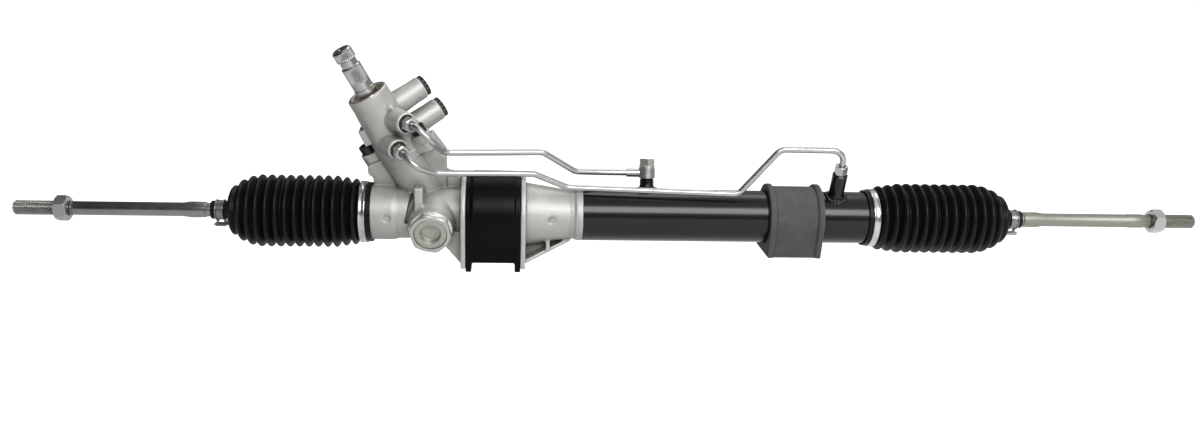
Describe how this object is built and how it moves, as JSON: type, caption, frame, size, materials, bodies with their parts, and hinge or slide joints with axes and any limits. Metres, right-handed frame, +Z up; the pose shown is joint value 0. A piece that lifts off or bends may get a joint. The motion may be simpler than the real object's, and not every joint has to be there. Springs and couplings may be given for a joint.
{
  "type": "steering rack",
  "caption": "Hydraulic rack and pinion steering gear with cast housing, black power cylinder, corrugated boots, inner tie rods, rubber mounting bushes and steel pipes.",
  "frame": {"origin": "middle of the flat base of the locating bush", "axes": "+X along the rack towards the power cylinder side, +Y to the back away from the rack guide, +Z up away from the base of the bush"},
  "size_m": [1.1823, 0.1023, 0.2137],
  "materials": {
    "cast_aluminium": "satin as-cast",
    "machined_steel": "ground and machined",
    "zinc_steel": "bright zinc plated",
    "stainless_band": "bright stainless",
    "copper_washer": "annealed",
    "black_paint": "satin black",
    "black_steel": "black oxide",
    "black_rubber": "satin",
    "grey_rubber": "matt",
    "seal_rubber": "satin brown",
    "black_plastic": "moulded",
    "bearing_plastic": "moulded low-friction plastic"
  },
  "bodies": {
    "housing": {"gear_housing": "cast_aluminium", "valve_housing": "cast_aluminium", "valve_housing_bolts": "black_steel", "pressure_port_cap": "black_plastic", "return_port_cap": "black_plastic", "pinion_end_cap": "zinc_steel", "pinion_lower_bearing": "machined_steel", "pinion_upper_bearing": "machined_steel", "input_shaft_bearing": "machined_steel", "input_shaft_seal": "seal_rubber", "rack_guide": "bearing_plastic", "rack_guide_spring": "machined_steel", "rack_guide_plug": "zinc_steel", "rack_guide_locknut": "zinc_steel", "cylinder_tube": "black_paint", "rack_seal_holder": "machined_steel", "cylinder_end_bush": "machined_steel", "cylinder_snap_ring": "machined_steel", "locating_bush": "black_rubber", "floating_bush": "grey_rubber", "upper_flare_nut": "zinc_steel", "lower_flare_nut": "zinc_steel", "outer_flare_nut": "zinc_steel", "short_pipe": "zinc_steel", "long_pipe": "zinc_steel", "banjo_eye": "zinc_steel", "banjo_bolt": "zinc_steel", "banjo_washers": "copper_washer", "left_bellows": "black_rubber", "right_bellows": "black_rubber", "left_bellows_band": "stainless_band", "right_bellows_band": "stainless_band"},
    "rack": {"rack_bar": "machined_steel", "piston": "machined_steel", "piston_ring": "bearing_plastic", "left_lock_washer": "machined_steel", "right_lock_washer": "machined_steel", "left_ball_socket": "machined_steel", "right_ball_socket": "machined_steel"},
    "pinion": {"pinion_shaft": "machined_steel", "pinion_pin": "machined_steel", "torsion_bar": "machined_steel", "sleeve_hub": "machined_steel", "valve_sleeve": "machined_steel", "valve_sleeve_rings": "bearing_plastic"},
    "input_shaft": {"input_shaft": "machined_steel", "input_shaft_pin": "machined_steel"},
    "left_ball_seat": {"left_ball_seat": "bearing_plastic"},
    "right_ball_seat": {"right_ball_seat": "bearing_plastic"},
    "left_tie_rod": {"left_tie_rod": "zinc_steel", "left_bellows_clip": "stainless_band"},
    "right_tie_rod": {"right_tie_rod": "zinc_steel", "right_bellows_clip": "stainless_band"},
    "left_jam_nut": {"left_jam_nut": "zinc_steel"},
    "right_jam_nut": {"right_jam_nut": "zinc_steel"}
  },
  "joints": [
    {"name": "rack_slide", "type": "slide", "parent": "housing", "child": "rack", "axis": [1, 0, 0], "range_m": [-0.072, 0.072], "deforming": ["left_bellows", "right_bellows"]},
    {"name": "pinion_turn", "type": "hinge", "parent": "housing", "child": "pinion", "pos_m": [-0.0594, 0.01512, 0.04505], "axis": [-0.4509, -0.231, 0.8622], "range_deg": [-513, 513]},
    {"name": "input_shaft_twist", "type": "hinge", "parent": "pinion", "child": "input_shaft", "pos_m": [-0.11982, -0.01584, 0.16058], "axis": [-0.4509, -0.231, 0.8622], "range_deg": [-4, 4], "stiffness_Nm_per_rad": 0.6},
    {"name": "left_ball_swing", "type": "hinge", "parent": "rack", "child": "left_ball_seat", "pos_m": [-0.232, 0, 0.041], "axis": [0, 0, 1], "range_deg": [-10, 10]},
    {"name": "left_ball_tilt", "type": "hinge", "parent": "left_ball_seat", "child": "left_tie_rod", "pos_m": [-0.232, 0, 0.041], "axis": [0, 1, 0], "range_deg": [-20, 20], "deforming": ["left_bellows"]},
    {"name": "left_jam_nut_turn", "type": "hinge", "parent": "left_tie_rod", "child": "left_jam_nut", "pos_m": [-0.4135, 0, 0.041], "axis": [1, 0, 0], "range_deg": [-180, 180]},
    {"name": "right_ball_swing", "type": "hinge", "parent": "rack", "child": "right_ball_seat", "pos_m": [0.494, 0, 0.041], "axis": [0, 0, 1], "range_deg": [-10, 10]},
    {"name": "right_ball_tilt", "type": "hinge", "parent": "right_ball_seat", "child": "right_tie_rod", "pos_m": [0.494, 0, 0.041], "axis": [0, 1, 0], "range_deg": [-20, 20], "deforming": ["right_bellows"]},
    {"name": "right_jam_nut_turn", "type": "hinge", "parent": "right_tie_rod", "child": "right_jam_nut", "pos_m": [0.6835, 0, 0.041], "axis": [1, 0, 0], "range_deg": [-180, 180]}
  ],
  "couplings": [
    {"joint": "pinion_turn", "follows": "rack_slide", "rad_per_m": 123.97}
  ]
}
